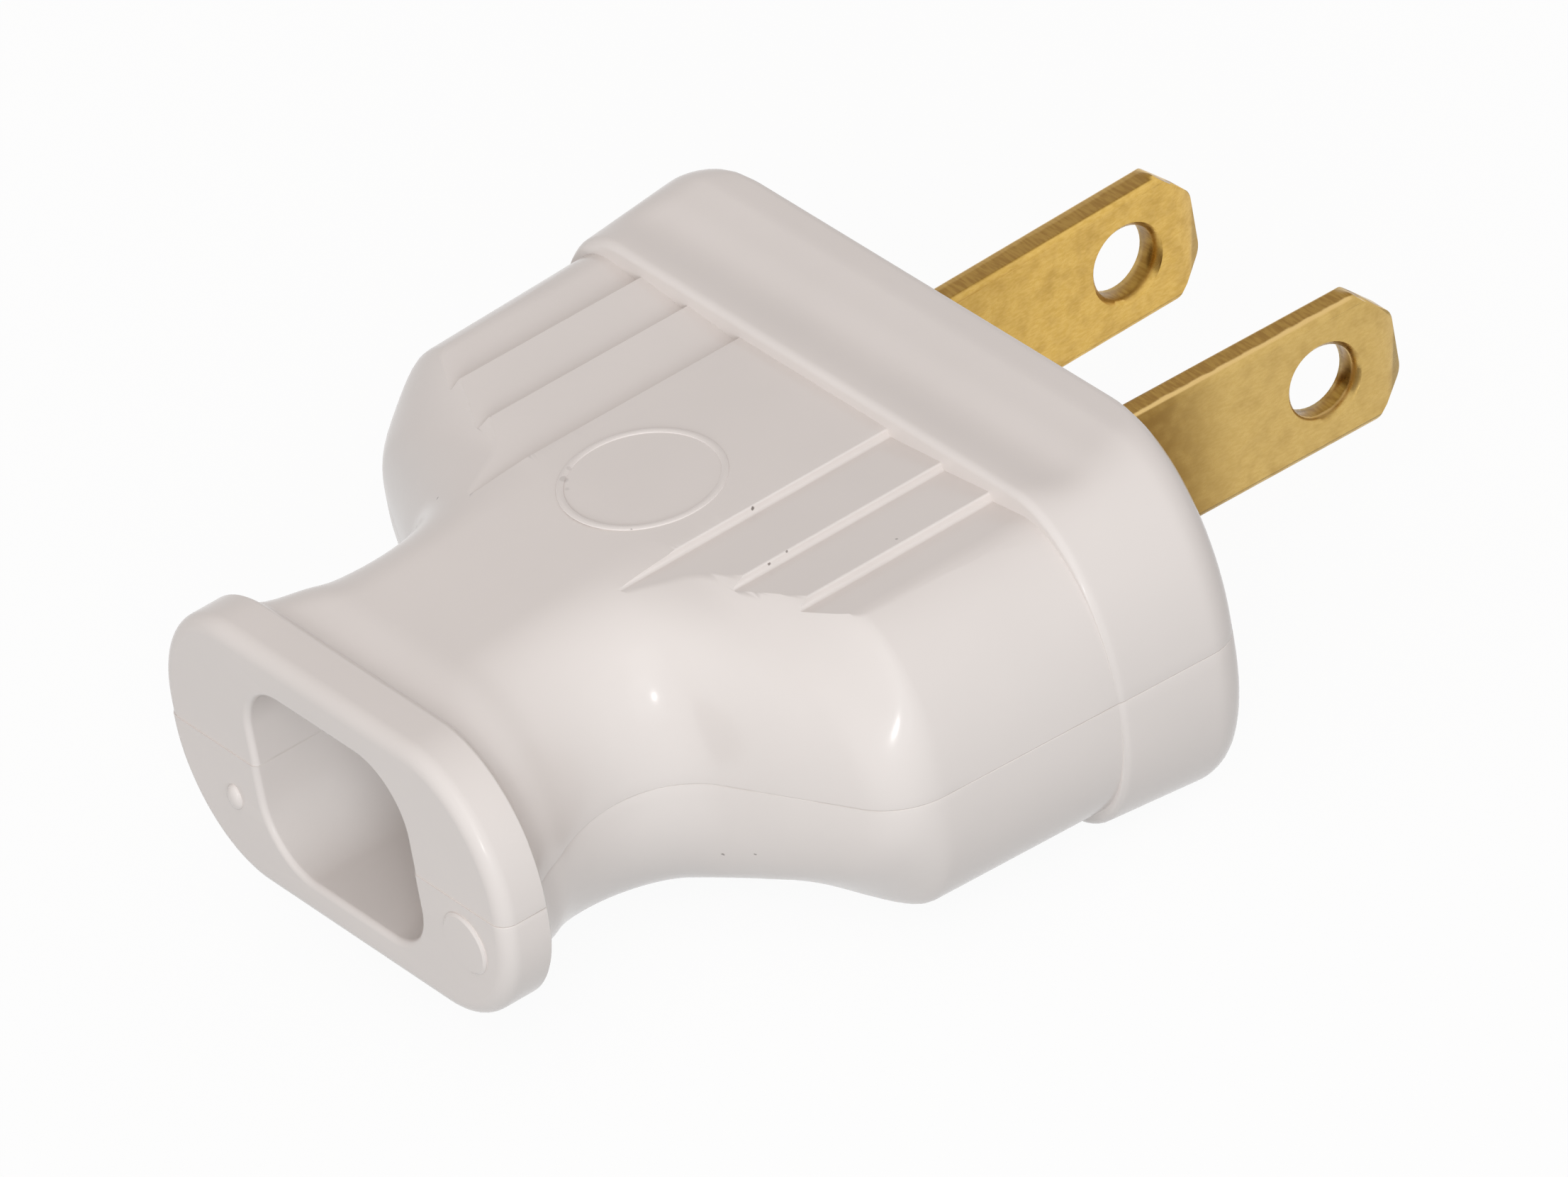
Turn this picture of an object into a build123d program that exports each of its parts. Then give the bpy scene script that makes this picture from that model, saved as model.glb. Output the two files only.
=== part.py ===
from build123d import *

import os
from math import acos, atan2, ceil, cos, degrees, pi, radians, sin, sqrt, tan

# A rewirable two-blade plug: two moulded shells that meet at mid height, two stamped brass blades
# with clamping screws on their inner tabs, and one closing screw from below.
# X runs out along the blades, Y to the left and Z up. The origin is the centre of the mating face,
# on the plane where the shells meet. Lengths are in millimetres and angles in degrees.

# Blades
blade_spacing = 12.7  # between the blades' centres
blade_width = 6.3  # along Z
blade_thickness = 1.5
blade_reach = 17.3  # from the mating face to the tip
blade_splay = 1.6  # each blade leans out by this
blade_edge_round = 0.3
tip_corner = 1.7  # chamfer of the two corners at the tip
tip_corner_round = 0.9
tip_bevel_length = 1.1  # the faces thin towards the tip
tip_bevel_depth = 0.3
blade_hole = 3.4  # diameter
blade_hole_from_tip = 3.95
blade_hole_edge = 0.22  # worn rim of the hole

# Terminal tabs, folded out from the blades' lower edges inside the body
tab_length = 8.0
tab_bend = 0.8  # inner radius of the fold
tab_corner_round = 1.5
tab_side_gap = 0.85  # from a tab's end to the cavity's wall
tab_stop_gap = 0.15  # along X, in front of and behind a tab

# Terminal screws and washers
terminal_length = 3.6  # below the head
terminal_head_margin = 0.25  # of washer round the head
terminal_head_height = 2.3
washer_gap = 0.3  # from a washer to the blade's bend and to the tab's end
washer_border = 1.0125  # of washer round its hole
washer_thickness = 0.6
driver_slot_width = 0.9
driver_slot_depth = 1.1

# Body behind the collar
body_width = 37.55  # where it meets the collar
body_height = 15.1
body_corner_width = 5.05  # its long edges are quarter ellipses
body_side_flat = 0.4  # half height of the upright band along each side
side_taper = 2.9  # each side narrows towards the cord
shoulder_from_face = 15.2  # the straight part ends here, at the centre of the shoulder's rounding in plan
shoulder_round = 3.4
waist_from_face = 24.9  # narrowest place of the neck
waist_round = 4.25
waist_width = 16.5
waist_flare_round = 5.8  # the neck widens again towards the flange
panel_end = 17.0  # the flat top ends here and falls to the neck
neck_height = 13.3  # where the neck meets the flange
neck_flat = 3.4  # half width of the neck's flat top
neck_side_flat = 0.57  # half height of its upright band
neck_flat_from_face = 18.6
neck_rise = 0.1  # the cord end lies above the parting plane by this
turn_angle = 16.5  # largest turn of the plan between two sections
slope_section_count = 3  # along the straight line from the shoulder to the waist
flare_section_count = 4

# Collar round the mating face
collar_length = 6.75
collar_side_step = 0.06  # beyond the body's sides
collar_step = 0.77  # above and below the body
collar_corner_width = 5.25
collar_side_flat = 0.62
collar_rear_round = 0.35
rim_height = 0.43  # the top sweeps up to a rim behind the mating face
rim_from_face = 1.5
rim_sweep_length = 3.1
rim_section_count = 2
front_edge_round = 0.3  # above and below
front_side_round = 2.2  # at the sides, in plan
front_corner_width = 4.2
front_side_flat = 0.38
edge_section_count = 3  # round each rounded edge

# End flange at the cord inlet
body_length = 33.3
flange_length = 2.8
flange_width = 23.0
flange_height = 13.2
flange_corner_width = 5.4
flange_side_flat = 0.43
flange_edge_round = 0.6
inlet_width = 11.0
inlet_height = 9.2
inlet_corner = 2.8
inlet_edge_bevel = 0.25

# Grip ribs: three saw-tooth steps on each side of a plain panel, above and below
rib_steps = (5.09, 8.73, 11.97)  # distances of the steps from the middle
rib_depths = (0.38, 0.4, 0.47)
rib_crest_fall = 0.03  # the strips rise to this far below the panel
last_strip_slope = 7.0  # the outermost strip rises outwards by this
panel_ring = 6.9  # middle diameter of the fine ring on the upper panel
panel_ring_from_face = 15.7
panel_ring_width = 0.34
panel_ring_height = 0.12

# Inside
front_wall = 3.0
side_wall = 3.8
roof = 2.25
cavity_rear = 22.5
cavity_rear_width = 12.0
cavity_bend_from_face = 14.0
cavity_edge_round = 1.5
slot_clearance = 0.15
boss_diameter = 8.0
closing_from_face = 15.7
closing_thread = 3.0
closing_clearance = 0.2
closing_head = 5.6
closing_head_height = 2.2
closing_head_gap = 0.3
closing_seat = 3.3  # from the parting plane down to the head's seat
closing_reach = 4.6  # of the screw's tip above the parting plane
insert_across_flats = 5.0
insert_length = 4.2
insert_skin = 0.7  # plastic between the insert and the parting plane
thread_clearance = 0.05
screw_tip_gap = 0.7  # round a terminal screw's tip, in the pad under its tab
rib_thickness = 1.4
stop_height = 2.6  # of the rib behind a tab, above the tab's underside
holder_length = 5.0

section_plane = Plane(origin=(0, 0, 0), x_dir=(0, 1, 0), z_dir=(1, 0, 0))
tab_front = front_wall + tab_stop_gap
tab_rear = tab_front + tab_length
cavity_half_width = body_width / 2 - side_wall
cavity_half_height = body_height / 2 - roof
tab_reach = cavity_half_width - tab_side_gap - blade_spacing / 2
tab_top = blade_thickness - blade_width / 2
tab_flat_start = blade_thickness / 2 + tab_bend
terminal_x = -(tab_front + tab_length / 2)
terminal_y = (tab_flat_start + tab_reach) / 2
washer_size = tab_reach - tab_flat_start - 2 * washer_gap
terminal_head = washer_size - 2 * terminal_head_margin
terminal_thread = washer_size - 2 * (washer_border + thread_clearance)


def between(start, end, share):
    return start + (end - start) * share


def smooth_step(value):
    share = min(max(value, 0.0), 1.0)
    return share * share * (3 - 2 * share)


def shoulder_tangent():
    # The straight line that leaves the shoulder's rounding and runs into the waist's
    centre = (-shoulder_from_face, side_half_width(-shoulder_from_face) - shoulder_round)
    waist = (-waist_from_face, waist_width / 2 + waist_round)
    run, rise = waist[0] - centre[0], waist[1] - centre[1]
    lean = acos((shoulder_round + waist_round) / sqrt(run * run + rise * rise))
    heading = atan2(rise, run) - lean
    normal = (cos(heading), sin(heading))
    leaves = (centre[0] + shoulder_round * normal[0], centre[1] + shoulder_round * normal[1])
    enters = (waist[0] - waist_round * normal[0], waist[1] - waist_round * normal[1])
    return centre, waist, leaves, enters, (heading - pi / 2) % (2 * pi)


def side_half_width(x):
    return body_width / 2 + (x + collar_length) * sin(radians(side_taper))


def plan_half_width(x):
    # Half the width of the body in plan, from the collar back to the flange
    centre, waist, leaves, enters, turn = shoulder_tangent()
    if x >= centre[0]:
        return side_half_width(x)
    if x >= leaves[0]:
        return centre[1] + sqrt(shoulder_round**2 - (x - centre[0]) ** 2)
    if x >= enters[0]:
        return between(enters[1], leaves[1], (x - enters[0]) / (leaves[0] - enters[0]))
    if x >= waist[0]:
        return waist[1] - sqrt(waist_round**2 - (x - waist[0]) ** 2)
    return waist_width / 2 + (x - waist[0]) ** 2 / (2 * waist_flare_round)


def shares(count):
    return [i / count for i in range(count + 1)]


def section_places():
    # Sections stand at even turns round the shoulder and the waist, then evenly along the flare
    centre, waist, leaves, enters, turn = shoulder_tangent()
    turns = [turn * share for share in shares(ceil(degrees(turn) / turn_angle))]
    places = [centre[0] - shoulder_round * sin(angle) for angle in turns]
    places += [between(leaves[0], enters[0], share) for share in shares(slope_section_count)[1:-1]]
    places += [waist[0] + waist_round * sin(angle) for angle in reversed(turns)]
    last = flange_length - body_length
    return places + [between(waist[0], last, share) for share in shares(flare_section_count)[1:]]


def rounded_section(x, half_width, half_height, corner_width, side_flat, rise=0.0):
    # A cross-section at x: a rectangle with quarter ellipses for corners
    flat = half_width - corner_width
    edges = []
    for turn, (y, z) in enumerate(((flat, side_flat), (-flat, side_flat), (-flat, -side_flat), (flat, -side_flat))):
        edges.append(EllipticalCenterArc((y, z), corner_width, half_height - side_flat, 90 * turn, arc_size=90))
    joined = []
    for arc, following in zip(edges, edges[1:] + edges[:1]):
        joined += [arc, Line(arc @ 1, following @ 0)]
    return Plane(origin=(x, 0, rise), x_dir=(0, 1, 0), z_dir=(1, 0, 0)) * make_face(joined)


def body_section(x):
    half_width = plan_half_width(x)
    fall = smooth_step((-panel_end - x) / (body_length - flange_length - panel_end))
    half_height = between(body_height, neck_height, fall) / 2
    narrowing = smooth_step((-shoulder_from_face - x) / (neck_flat_from_face - shoulder_from_face))
    panel_flat = side_half_width(-shoulder_from_face) - body_corner_width
    flat = between(panel_flat, neck_flat, narrowing)
    side_flat = between(body_side_flat, neck_side_flat, narrowing)
    return rounded_section(x, half_width, half_height, half_width - flat, side_flat, neck_rise * fall)


def rib_outline():
    # Saw-tooth steps: each strip drops at its inner edge and rises again to the next
    top = body_height / 2
    outline = [(rib_steps[0], top)]
    for step, depth in zip(rib_steps, rib_depths):
        if step > rib_steps[0]:
            outline.append((step, top - rib_crest_fall))
        outline.append((step, top - depth))
    return outline


def last_strip_end(x):
    # Where the outermost strip runs into the rounded edge, and the edge's angle there
    centre_y, centre_z = side_half_width(x) - body_corner_width, body_side_flat
    corner_height = body_height / 2 - body_side_flat
    foot_y, foot_z = rib_outline()[-1]
    lift = tan(radians(last_strip_slope))
    across, up = (foot_y - centre_y) / body_corner_width, (foot_z - centre_z) / corner_height
    square = 1 / body_corner_width**2 + (lift / corner_height) ** 2
    linear = across / body_corner_width + up * lift / corner_height
    reach = (sqrt(linear**2 - square * (across**2 + up**2 - 1)) - linear) / square
    end_y, end_z = foot_y + reach, foot_z + lift * reach
    angle = atan2((end_z - centre_z) / corner_height, (end_y - centre_y) / body_corner_width)
    return end_y, end_z, degrees(angle)


def ribbed_section(x):
    end_y, end_z, angle = last_strip_end(x)
    corner_centre = (side_half_width(x) - body_corner_width, body_side_flat)
    corner_height = body_height / 2 - body_side_flat
    quarter = Polyline((0, body_height / 2), *rib_outline(), (end_y, end_z)).edges()
    quarter.append(EllipticalCenterArc(corner_centre, body_corner_width, corner_height, 0, arc_size=angle))
    quarter.append(Line((side_half_width(x), 0), (side_half_width(x), body_side_flat)))
    half = quarter + [mirror(edge, Plane.YZ) for edge in quarter]
    whole = half + [mirror(edge, Plane.XZ) for edge in half]
    return Plane(origin=(x, 0, 0), x_dir=(0, 1, 0), z_dir=(1, 0, 0)) * make_face(whole)


def straight_body():
    # Between the collar and the shoulder the section only tapers
    return loft([ribbed_section(x) for x in (-shoulder_from_face, -collar_length)], ruled=True)


def shoulder_and_neck():
    # The ribs run out on the shoulder's slope
    return loft([body_section(x) for x in section_places()], ruled=True) - rib_cuts()


def rounding(distance, radius):
    # How far a rounded edge takes the surface in, at this distance from the face that it meets
    reach = max(radius - distance, 0.0)
    return radius - sqrt(max(radius**2 - reach**2, 0.0))


def collar_section(x):
    # The top sweeps up to the rim, and behind the mating face the corners grow rounder
    sweep_start = -(rim_from_face + rim_sweep_length)
    swept = min(max((x - sweep_start) / rim_sweep_length, 0.0), 1.0)
    rear_inset = rounding(x + collar_length, collar_rear_round)
    half_height = body_height / 2 + collar_step + rim_height * swept**2 - rounding(-x, front_edge_round)
    half_width = side_half_width(x) + collar_side_step - rounding(-x, front_side_round)
    growth = smooth_step((x + rim_from_face) / rim_from_face)
    corner_width = between(collar_corner_width, front_corner_width, growth)
    side_flat = between(collar_side_flat, front_side_flat, growth)
    return rounded_section(x, half_width, half_height - rear_inset, corner_width, side_flat)


def collar():
    crest, sweep_start = -rim_from_face, -(rim_from_face + rim_sweep_length)
    turns = [radians(90 * share) for share in shares(edge_section_count)]
    places = [collar_rear_round * (1 - cos(turn)) - collar_length for turn in turns]
    places += [between(sweep_start, crest, share) for share in shares(rim_section_count)]
    places += [between(crest, 0, sin(turn)) for turn in turns[1:]]
    return loft([collar_section(x) for x in places], ruled=True)


def flange_section(x):
    inset = rounding(x + body_length, flange_edge_round)
    half_width, half_height = flange_width / 2 - inset, flange_height / 2 - inset
    return rounded_section(x, half_width, half_height, flange_corner_width - inset, flange_side_flat, neck_rise)


def end_flange():
    turns = [radians(90 * share) for share in shares(edge_section_count)]
    places = [flange_edge_round * (1 - cos(turn)) - body_length for turn in turns]
    return loft([flange_section(x) for x in places + [flange_length - body_length]], ruled=True)


def rib_cuts():
    # The straight part's steps, carried on to the waist
    outline = rib_outline()
    outer, above = body_width / 2, body_height
    floor = outline[-1][1] + (outer - rib_steps[-1]) * tan(radians(last_strip_slope))
    corners = outline + [(outer, floor), (outer, above), (rib_steps[0], above)]
    teeth = extrude(section_plane * make_face(Polyline(*corners, close=True)), -waist_from_face)
    sides = [teeth, mirror(teeth, Plane.XZ)]
    return sides + [mirror(side, Plane.XY) for side in sides]


def panel_ring_bead():
    outer = Cylinder(panel_ring / 2 + panel_ring_width / 2, 2 * panel_ring_height)
    bead = outer - Cylinder(panel_ring / 2 - panel_ring_width / 2, 2 * panel_ring_height)
    return Pos(-panel_ring_from_face, 0, body_height / 2) * bead


def cavity():
    plan = Polyline(
        (-front_wall, -cavity_half_width),
        (-cavity_bend_from_face, -cavity_half_width),
        (-cavity_rear, -cavity_rear_width / 2),
        (-cavity_rear, cavity_rear_width / 2),
        (-cavity_bend_from_face, cavity_half_width),
        (-front_wall, cavity_half_width),
        close=True,
    )
    room = extrude(make_face(plan), cavity_half_height, both=True)
    return fillet(room.edges().filter_by(Axis.Z), cavity_edge_round)


def cord_tunnel():
    # Its mouth widens with a small bevel
    mouth, bevel = -body_length, inlet_edge_bevel
    side_flat = inlet_height / 2 - inlet_corner
    sections = [
        rounded_section(x, inlet_width / 2 + wider, inlet_height / 2 + wider, inlet_corner + wider, side_flat)
        for x, wider in ((mouth, bevel), (mouth + bevel, 0.0), (cavity_edge_round - cavity_rear, 0.0))
    ]
    return loft(sections, ruled=True)


def outer_body():
    return straight_body() + shoulder_and_neck() + end_flange() + collar() + panel_ring_bead()


def blade_place(side):
    return Pos(0, side * blade_spacing / 2, 0) * Rot(0, 0, side * blade_splay)


def blade_tip_outline():
    # Side view, with the corners at the tip cut off and rounded
    half_width = blade_width / 2
    outline = Polyline(
        (-tab_front, -half_width),
        (blade_reach - tip_corner, -half_width),
        (blade_reach, tip_corner - half_width),
        (blade_reach, half_width - tip_corner),
        (blade_reach - tip_corner, half_width),
        (-tab_front, half_width),
        close=True,
    )
    face = make_face(outline)
    corners = [v for v in face.vertices() if v.X > 0]
    upright = Plane(origin=(0, 0, 0), x_dir=(1, 0, 0), z_dir=(0, -1, 0))
    return upright * fillet(corners, tip_corner_round)


def blade_tip_plan():
    # Seen from above, the faces thin towards the tip
    half_thickness = blade_thickness / 2
    return make_face(
        Polyline(
            (-tab_front, -half_thickness),
            (blade_reach - tip_bevel_length, -half_thickness),
            (blade_reach, tip_bevel_depth - half_thickness),
            (blade_reach, half_thickness - tip_bevel_depth),
            (blade_reach - tip_bevel_length, half_thickness),
            (-tab_front, half_thickness),
            close=True,
        )
    )


def blade(side):
    section = section_plane * RectangleRounded(blade_thickness, blade_width, blade_edge_round)
    strip = Pos(-tab_front, 0, 0) * extrude(section, tab_front + blade_reach)
    strip &= extrude(blade_tip_outline(), blade_thickness, both=True)
    strip &= extrude(blade_tip_plan(), blade_width, both=True)
    hole_radius = blade_hole / 2
    hole_x = blade_reach - blade_hole_from_tip
    strip -= Pos(hole_x, 0, 0) * Rot(90, 0, 0) * Cylinder(hole_radius, 2 * blade_thickness)
    rims = [e for e in strip.edges().filter_by(GeomType.CIRCLE) if abs(e.radius - hole_radius) < 1e-6]
    strip = chamfer(rims, blade_hole_edge)
    piece = strip + folded_tab()
    return blade_place(side) * (piece if side > 0 else mirror(piece, Plane.XZ))


def folded_tab():
    # The web behind the slot and the tab folded out from its lower edge, as one bent section
    half_width, half_thickness = blade_width / 2, blade_thickness / 2
    bend = Polyline(
        (-half_thickness, half_width),
        (half_thickness, half_width),
        (half_thickness, tab_top),
        (tab_reach, tab_top),
        (tab_reach, -half_width),
        (-half_thickness, -half_width),
        close=True,
    )
    section = make_face(bend)
    inner = section.vertices().sort_by_distance((half_thickness, tab_top, 0))[0]
    section = fillet(inner, tab_bend)
    outer = section.vertices().sort_by_distance((-half_thickness, -half_width, 0))[0]
    section = fillet(outer, tab_bend + blade_thickness)
    fold = Pos(-tab_rear, 0, 0) * extrude(section_plane * section, tab_length)
    corners = [e for e in fold.edges().filter_by(Axis.Z) if e.center().Y > tab_reach - 1e-3]
    fold = fillet(corners, tab_corner_round)
    hole = Cylinder(terminal_thread / 2 + thread_clearance, 4 * blade_thickness)
    return fold - Pos(terminal_x, terminal_y, tab_top) * hole


def slotted_screw(thread, length, head, head_height):
    # Stands on its head's seat at z = 0, with the head above and the shank below
    top = Pos(0, 0, head_height / 2) * Cylinder(head / 2, head_height)
    slot = Pos(0, 0, head_height) * Box(head, driver_slot_width, 2 * driver_slot_depth)
    return top - slot + Pos(0, 0, -length / 2) * Cylinder(thread / 2, length)


def terminal_screw(side):
    screw = slotted_screw(terminal_thread, terminal_length, terminal_head, terminal_head_height)
    seat = tab_top + washer_thickness
    return blade_place(side) * Pos(terminal_x, side * terminal_y, seat) * screw


def terminal_washer(side):
    # A square clamping washer
    plate = Box(washer_size, washer_size, washer_thickness)
    plate -= Cylinder(terminal_thread / 2 + thread_clearance, 2 * washer_thickness)
    middle = tab_top + washer_thickness / 2
    return blade_place(side) * Pos(terminal_x, side * terminal_y, middle) * plate


def closing_screw():
    length = closing_seat + closing_reach
    screw = slotted_screw(closing_thread, length, closing_head, closing_head_height)
    return Pos(-closing_from_face, 0, -closing_seat) * Rot(180, 0, 0) * screw


def insert_body():
    # A hexagonal bush that the upper shell is moulded round
    hexagon = RegularPolygon(insert_across_flats / 2, 6, major_radius=False)
    return Pos(-closing_from_face, 0, insert_skin) * extrude(hexagon, insert_length)


def closing_insert():
    bore = Cylinder(closing_thread / 2 + thread_clearance, 2 * (insert_skin + insert_length))
    return insert_body() - Pos(-closing_from_face, 0, 0) * bore


def blade_slot(side):
    width = blade_width + 2 * slot_clearance
    thickness = blade_thickness + 2 * slot_clearance
    return blade_place(side) * Box(4 * front_wall, thickness, width)


def tab_seat(side):
    # A pad under the tab, hollow under the screw's tip, and the rib that stops the tab behind
    floor = -cavity_half_height - roof / 2
    under = -blade_width / 2
    width, inner = tab_reach - tab_bend, tab_bend
    pad_middle = (-(tab_front + tab_length / 2), side * (inner + width / 2), (floor + under) / 2)
    pad = Pos(*pad_middle) * Box(tab_length, width, under - floor)
    pad -= Pos(terminal_x, side * terminal_y, under) * Cylinder(terminal_thread / 2 + screw_tip_gap, 4 * roof)
    stop_x = -(tab_rear + tab_stop_gap + rib_thickness / 2)
    stop = Pos(stop_x, side * tab_reach / 2, (floor + under + stop_height) / 2)
    return blade_place(side) * (
        pad + stop * Box(rib_thickness, tab_reach, under + stop_height - floor)
    )


def blade_holder(side):
    # A rib from the roof that holds the blade down by its upper edge
    over = blade_width / 2
    top = cavity_half_height + roof / 2
    middle = (-(tab_front + tab_length / 2), 0, (over + top) / 2)
    return blade_place(side) * Pos(*middle) * Box(holder_length, blade_thickness, top - over)


def upper_shell(whole):
    half = body_length * 2
    shell = whole & Pos(0, 0, half / 2) * Box(2 * half, half, half)
    top = cavity_half_height + roof / 2
    shell += Pos(-closing_from_face, 0, top / 2) * Cylinder(boss_diameter / 2, top)
    shell += [blade_holder(1), blade_holder(-1)]
    hole = Cylinder(closing_thread / 2 + closing_clearance, 2 * (closing_reach + closing_clearance))
    shell -= Pos(-closing_from_face, 0, 0) * hole
    return shell - insert_body()


def lower_shell(whole):
    half = body_length * 2
    shell = whole & Pos(0, 0, -half / 2) * Box(2 * half, half, half)
    floor = cavity_half_height + roof / 2
    shell += Pos(-closing_from_face, 0, -floor / 2) * Cylinder(boss_diameter / 2, floor)
    shell += [tab_seat(1), tab_seat(-1)]
    hole = Cylinder(closing_thread / 2 + closing_clearance, body_height)
    recess = Cylinder(closing_head / 2 + closing_head_gap, body_height)
    shell -= Pos(-closing_from_face, 0, 0) * hole
    return shell - Pos(-closing_from_face, 0, -closing_seat - body_height / 2) * recess


def hollow_body():
    body = outer_body() - cavity() - cord_tunnel()
    return body - [blade_slot(1), blade_slot(-1)]


whole_body = hollow_body()
pieces = {
    "upper_shell": upper_shell(whole_body),
    "lower_shell": lower_shell(whole_body),
    "blade_left": blade(1),
    "blade_right": blade(-1),
    "terminal_screw_left": terminal_screw(1),
    "terminal_screw_right": terminal_screw(-1),
    "terminal_washer_left": terminal_washer(1),
    "terminal_washer_right": terminal_washer(-1),
    "closing_screw": closing_screw(),
    "closing_insert": closing_insert(),
}

os.makedirs("parts", exist_ok=True)
for name, piece in pieces.items():
    export_step(piece, f"parts/{name}.step")
    print(name, round(piece.volume, 1))
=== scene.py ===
import math

import bmesh
import bpy
from mathutils import Matrix, Vector


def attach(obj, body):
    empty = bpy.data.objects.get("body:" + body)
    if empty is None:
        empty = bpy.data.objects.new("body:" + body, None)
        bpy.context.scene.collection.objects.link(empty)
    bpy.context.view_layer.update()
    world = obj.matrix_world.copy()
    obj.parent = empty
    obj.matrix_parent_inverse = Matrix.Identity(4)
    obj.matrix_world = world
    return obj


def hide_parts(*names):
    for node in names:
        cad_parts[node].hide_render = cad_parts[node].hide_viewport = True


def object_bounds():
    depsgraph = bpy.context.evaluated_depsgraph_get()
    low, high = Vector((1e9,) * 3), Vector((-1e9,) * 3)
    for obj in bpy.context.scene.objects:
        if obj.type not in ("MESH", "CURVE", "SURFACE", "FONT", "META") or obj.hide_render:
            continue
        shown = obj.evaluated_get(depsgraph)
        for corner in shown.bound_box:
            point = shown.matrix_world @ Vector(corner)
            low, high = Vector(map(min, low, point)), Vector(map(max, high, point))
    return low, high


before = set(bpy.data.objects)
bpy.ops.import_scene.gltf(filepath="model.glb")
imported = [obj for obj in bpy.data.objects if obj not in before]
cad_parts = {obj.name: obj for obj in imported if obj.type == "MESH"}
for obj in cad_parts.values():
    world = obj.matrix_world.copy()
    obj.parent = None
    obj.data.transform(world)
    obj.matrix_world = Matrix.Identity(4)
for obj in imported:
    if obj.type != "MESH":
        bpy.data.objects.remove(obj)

mm = 0.001  # every size below is in millimetres, in the frame's own axes
cadLow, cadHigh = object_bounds()
scene = bpy.context.scene
print("frame loaded:", len(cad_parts), "nodes")


# Small helpers

def hexColour(code):
    channels = [int(code[i : i + 2], 16) / 255 for i in (0, 2, 4)]
    linear = [c / 12.92 if c <= 0.04045 else ((c + 0.055) / 1.055) ** 2.4 for c in channels]
    return (*linear, 1.0)


def tones(look):
    # A material's hex values as linear colours
    return {name: hexColour(value) for name, value in look.items() if isinstance(value, str)}


def feed(tree, socket, value):
    # Gives an input a value or a link; a node stands for its first output in use
    if isinstance(value, bpy.types.Node):
        value = next(output for output in value.outputs if output.enabled)
    if isinstance(value, bpy.types.NodeSocket):
        tree.links.new(value, socket)
    else:
        socket.default_value = value


def addNode(tree, kind, settings=None, *values, **named):
    # Sets the node's own options, then feeds its inputs: those in use in order, or others by name
    node = tree.nodes.new(kind)
    for name, value in (settings or {}).items():
        setattr(node, name, value)
    used = [socket for socket in node.inputs if socket.enabled]
    for socket, value in zip(used, values):
        feed(tree, socket, value)
    for name, value in named.items():
        feed(tree, node.inputs[name.replace("_", " ")], value)
    return node


# Options that many nodes share
times = {"operation": "MULTIPLY"}
over = {"operation": "DIVIDE"}
plus = {"operation": "ADD"}
minus = {"operation": "SUBTRACT"}
larger = {"operation": "MAXIMUM"}
unsigned = {"operation": "ABSOLUTE"}
twoColours = {"data_type": "RGBA"}
softRange = {"interpolation_type": "SMOOTHSTEP"}


def metres(sizes):
    return [size * mm for size in sizes]


def between(start, end, share):
    return start + (end - start) * share


def smoothStep(value):
    share = min(max(value, 0.0), 1.0)
    return share * share * (3 - 2 * share)


def rounding(distance, radius):
    # How far a rounded edge lies below its flat, at a distance from its end
    reach = max(radius - distance, 0.0)
    return radius - math.sqrt(max(radius**2 - reach**2, 0.0))


def shares(count):
    return [i / count for i in range(count + 1)]


def quarterTurn(count):
    return [math.radians(90 * share) for share in shares(count)]


def meshObject(name, points, faces):
    mesh = bpy.data.meshes.new(name)
    mesh.from_pydata([Vector(p) * mm for p in points], [], faces)
    mesh.validate()
    made = bpy.data.objects.new(name, mesh)
    scene.collection.objects.link(made)
    return made


def faceOutwards(made, mergeDistance=0.0005):
    work = bmesh.new()
    work.from_mesh(made.data)
    bmesh.ops.remove_doubles(work, verts=work.verts, dist=mergeDistance * mm)
    bmesh.ops.recalc_face_normals(work, faces=work.faces)
    work.to_mesh(made.data)
    work.free()


def settle(made, step):
    # Turns an object's one modifier into plain mesh
    bpy.context.view_layer.update()
    evaluated = made.evaluated_get(bpy.context.evaluated_depsgraph_get())
    result = bpy.data.meshes.new_from_object(evaluated)
    made.modifiers.remove(step)
    oldMesh = made.data
    made.data = result
    bpy.data.meshes.remove(oldMesh)


def combine(target, tool, operation):
    # Adds or cuts one closed mesh, then removes the tool
    step = target.modifiers.new("combine", "BOOLEAN")
    step.operation, step.object, step.solver = operation, tool, "MANIFOLD"
    settle(target, step)
    toolMesh = tool.data
    bpy.data.objects.remove(tool)
    bpy.data.meshes.remove(toolMesh)


smoothAngle = {"shell": 34, "solid": 30, "screw": 32}  # in degrees; a sharper turn stays an edge


def smoothShading(made, angle):
    # Smooth up to an angle; wide faces rule the shading of the small roundings beside them
    made.data.shade_smooth()
    made.data.set_sharp_from_angle(angle=math.radians(angle))
    step = made.modifiers.new("shading", "WEIGHTED_NORMAL")
    step.keep_sharp = True
    settle(made, step)


def prism(name, outline, place):
    # An outline drawn in a plane, extruded; place(u, v, end) gives each corner's point
    count = len(outline)
    points = [place(u, v, 0) for u, v in outline] + [place(u, v, 1) for u, v in outline]
    sides = [(i, (i + 1) % count, (i + 1) % count + count, i + count) for i in range(count)]
    ends = [tuple(range(count))[::-1], tuple(range(count, 2 * count))]
    made = meshObject(name, points, sides + ends)
    faceOutwards(made)
    return made


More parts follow.
